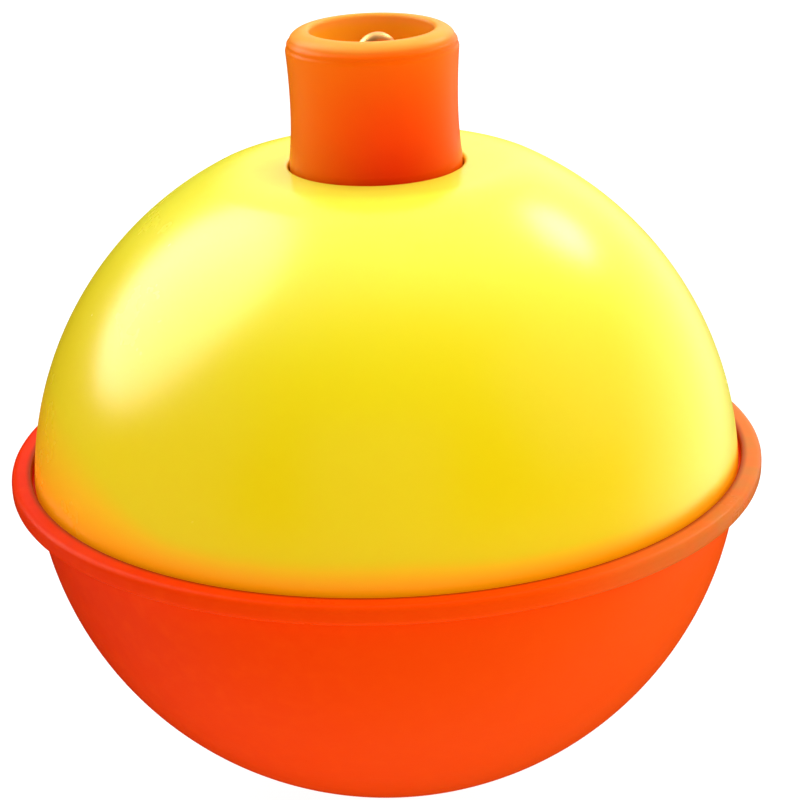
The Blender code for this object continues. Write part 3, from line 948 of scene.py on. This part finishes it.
def make_button_orange():
    """Push button: painted shade makes it red-orange at its foot and painted light makes it lighter
    upwards; painted highlights make its flanks and rim pale, and its recess is golden.
    """
    skin = Skin("button_plastic_skin")
    x, y, z = skin.axes()
    foot_z = BUTTON_TOP_Z - BUTTON_BASE_DEPTH
    # Painted light and shade: red-orange and darker at the foot, down in the well, and lighter upwards
    # towards the light from above.
    body = skin.ramp(z, foot_z, BUTTON_TOP_Z - RIM_OUTER_ROUND, BUTTON_PAINTED_LIGHT_BY_HEIGHT)
    body = skin.mottled(body, BUTTON_CLOUD, scale=200.0, detail=3.0, start=0.3, end=0.7, most=0.2)
    # Painted highlights: the button grows paler orange towards both flanks, standing in for the softbox and
    # the bright surroundings reflected there.
    flank_reach = BUTTON_RIM_RADIUS + BUTTON_REDDEST_X
    aside = skin.math("DIVIDE", skin.math("SUBTRACT", x, BUTTON_REDDEST_X), flank_reach)
    body = skin.mix(skin.squared(aside), body, BUTTON_FLANK_HIGHLIGHT)
    across = skin.off_axis(x, y)
    inside = skin.ranged(across, RECESS_RADIUS, RECESS_RADIUS + RIM_INNER_ROUND, 1.0, 0.0, smooth=True)
    fade_low = BUTTON_TOP_Z - RECESS_FADE_DEPTHS[0]
    fade_high = BUTTON_TOP_Z - RECESS_FADE_DEPTHS[1]
    above_web = skin.ranged(z, fade_low, fade_high, 0.0, 1.0)
    body = skin.mix(skin.math("MULTIPLY", inside, above_web), body, BUTTON_RECESS)
    # Painted highlight: the rim's crest is pale, standing in for the overhead light reflected along it.
    wander = skin.math("MULTIPLY", skin.noise(260.0, detail=2.0), RIM_HIGHLIGHT_WANDER)
    crest = skin.math("ADD", z, wander)
    rim_low = BUTTON_TOP_Z - RIM_HIGHLIGHT_BELOW
    rim_high = BUTTON_TOP_Z + RIM_HIGHLIGHT_ABOVE
    rim = skin.ranged(crest, rim_low, rim_high, 0.0, 1.0, smooth=True)
    skin.put("Base Color", skin.mix(rim, body, BUTTON_RIM_HIGHLIGHT))
    skin.put("Roughness", scuffed(skin, plastic_roughness(skin, 0.28, 0.38)))
    skin.put("Normal", plastic_relief(skin, BUTTON_PEEL_DEPTH))
    finish_plastic(
        skin,
        specular=0.07,
        tint=(1.0, 0.8, 0.45),
        scatter=0.15,
        scatter_radii=(1.0, 0.35, 0.05),
        scatter_depth=1.0 * MM,
    )
    return skin.material


def make_brass():
    """Drawn brass wire: fine lines along it and a little tarnish."""
    skin = Skin("brass_wire_skin")
    lines = skin.noise(1.0, place=skin.stretched(BRASS_LINE_SCALES))
    tarnish = skin.ranged(skin.noise(700.0, detail=5.0), 0.45, 0.7, 0.0, 0.55)
    skin.put("Base Color", skin.mix(tarnish, BRASS, BRASS_TARNISH))
    skin.put("Roughness", skin.ranged(lines, 0.3, 0.7, 0.42, 0.56))
    skin.put("Normal", skin.bump(lines, BRASS_LINE_DEPTH))
    skin.put("Metallic", 1.0)
    return skin.material


def make_steel():
    """Coiled spring wire: dull steel with fine lines."""
    skin = Skin("spring_steel_skin")
    lines = skin.noise(6000.0)
    stain = skin.ranged(skin.noise(500.0), 0.4, 0.7, 0.0, 0.6)
    skin.put("Base Color", skin.mix(stain, STEEL, STEEL_STAIN))
    skin.put("Roughness", skin.ranged(lines, 0.3, 0.7, 0.26, 0.42))
    skin.put("Normal", skin.bump(lines, STEEL_LINE_DEPTH))
    skin.put("Metallic", 1.0)
    return skin.material


def make_floor_material():
    """Light-table top: matt, with a faint grain and white light of its own."""
    skin = Skin("studio_floor_paint")
    grain = skin.noise(400.0, detail=3.0)
    skin.put("Base Color", skin.mix(grain, FLOOR_DARK, FLOOR_PALE))
    skin.put("Roughness", 0.8)
    skin.put("Specular IOR Level", 0.1)
    skin.put("Emission Color", WHITE)
    skin.put("Emission Strength", FLOOR_GLOW)
    return skin.material


# ---------------------------------------------------------------- studio

def look_at(item, target, roll=0.0):
    """Turn an object's -Z towards a target, then roll it about its own line of sight."""
    way = target - item.location
    turn = way.to_track_quat("-Z", "Y").to_matrix().to_4x4()
    item.matrix_world = Matrix.Translation(item.location) @ turn @ Matrix.Rotation(roll, 4, "Z")


def make_camera():
    """A long lens in front of the float and a little above it, tipped by a small roll."""
    data = bpy.data.cameras.new("camera")
    data.lens = CAMERA_LENS
    data.clip_start = 0.01
    data.clip_end = 20.0
    camera = link("camera", data)
    up = Vector((0.0, math.sin(CAMERA_ELEVATION), math.cos(CAMERA_ELEVATION)))
    back = Vector((0.0, -math.cos(CAMERA_ELEVATION), math.sin(CAMERA_ELEVATION)))
    camera.location = SUBJECT + back * CAMERA_DISTANCE
    look_at(camera, SUBJECT + Vector((AIM_RIGHT, 0.0, 0.0)) + up * AIM_UP, roll=-CAMERA_ROLL)
    bpy.context.scene.camera = camera


def add_panel(name, panel, gloss, diffuse):
    """A soft panel of a given brightness that faces the float, for gloss or for diffuse light."""
    direction, distance, (width, height), radiance, shape = panel
    data = bpy.data.lights.new(name, "AREA")
    data.shape = shape
    data.size = width
    data.size_y = height
    area = width * height
    if shape != "RECTANGLE":
        area *= math.pi / 4.0
    data.energy = radiance * math.pi * area
    item = link(name, data)
    item.location = SUBJECT + Vector(direction).normalized() * distance
    look_at(item, SUBJECT)
    item.visible_glossy = gloss
    item.visible_diffuse = diffuse


def make_world():
    """Surroundings that are white to the eye, and that light the float from behind and above.

    They fade to dark towards the viewer and below, and reach lower at the right than at the left.
    """
    world = bpy.data.worlds.new("studio")
    bpy.context.scene.world = world
    world.use_nodes = True
    nodes = Nodes(world.node_tree, "Generated")
    x, y, z = nodes.axes()
    depth = nodes.ranged(y, *WORLD_DEPTHS, WORLD_FRONT, WORLD_BACK, smooth=True)
    lift = nodes.ranged(x, *WORLD_SIDES, *WORLD_SIDE_LIFT)
    height = nodes.ranged(nodes.math("ADD", z, lift), *WORLD_HEIGHTS, 0.0, 1.0, smooth=True)
    light = nodes.math("MULTIPLY", depth, height)
    path = nodes.add("ShaderNodeLightPath")
    seen = nodes.add("ShaderNodeMix")
    nodes.join(path.outputs["Is Camera Ray"], seen.inputs["Factor"])
    nodes.join(light, seen.inputs["A"])
    nodes.join(WORLD_SEEN, seen.inputs["B"])
    background = world.node_tree.nodes["Background"]
    nodes.join(WHITE, background.inputs["Color"])
    nodes.join(seen.outputs["Result"], background.inputs["Strength"])


def make_floor(material):
    """A wide pale floor at the float's foot."""
    shape = bmesh.new()
    bmesh.ops.create_grid(shape, x_segments=FLOOR_CELLS, y_segments=FLOOR_CELLS, size=FLOOR_HALF_WIDTH)
    floor = link("studio_floor", to_mesh("studio_floor", shape))
    floor.visible_glossy = False
    floor.data.materials.append(material)


def make_studio():
    """Camera, floor, surroundings and lights."""
    make_camera()
    make_world()
    make_floor(make_floor_material())
    for name, panel in GLOSS_PANELS.items():
        add_panel(name, panel, gloss=True, diffuse=False)
    for name, panel in FILL_PANELS.items():
        add_panel(name, panel, gloss=False, diffuse=True)
    bpy.context.scene.view_settings.view_transform = "Standard"


# ---------------------------------------------------------------- assembly

def dress(item, material, body, slot, *nodes):
    """Give a piece its material, its body and the CAD nodes that it stands for. The slot argument is not
    used.
    """
    item.data.materials.clear()
    item.data.materials.append(material)
    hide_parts(*nodes)
    if body:
        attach(item, body)


def make_spring():
    """The coil in two halves, a lower and an upper."""
    steel = make_steel()
    middle_turn = SPRING_TURNS / 2.0
    lower = make_spring_half("spring_lower_coils", 0.0, middle_turn)
    upper = make_spring_half("spring_upper_coils", middle_turn, SPRING_TURNS)
    for half in (lower, upper):
        dress(half, steel, None, "spring_steel", "return_spring")
    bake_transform(lower)
    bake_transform(upper)


def main():
    """Build every piece, then the studio."""
    dress(make_upper_shell(), make_yellow(), "shell", "yellow_plastic", "upper_shell")
    dress(make_lower_shell(), make_orange(), "shell", "orange_plastic", "lower_shell")
    dress(make_push_button(), make_button_orange(), "button", "button_plastic", "push_button")
    dress(make_hook_wire(), make_brass(), "wire", "brass_wire", "hook_wire")
    make_spring()
    make_studio()


main()
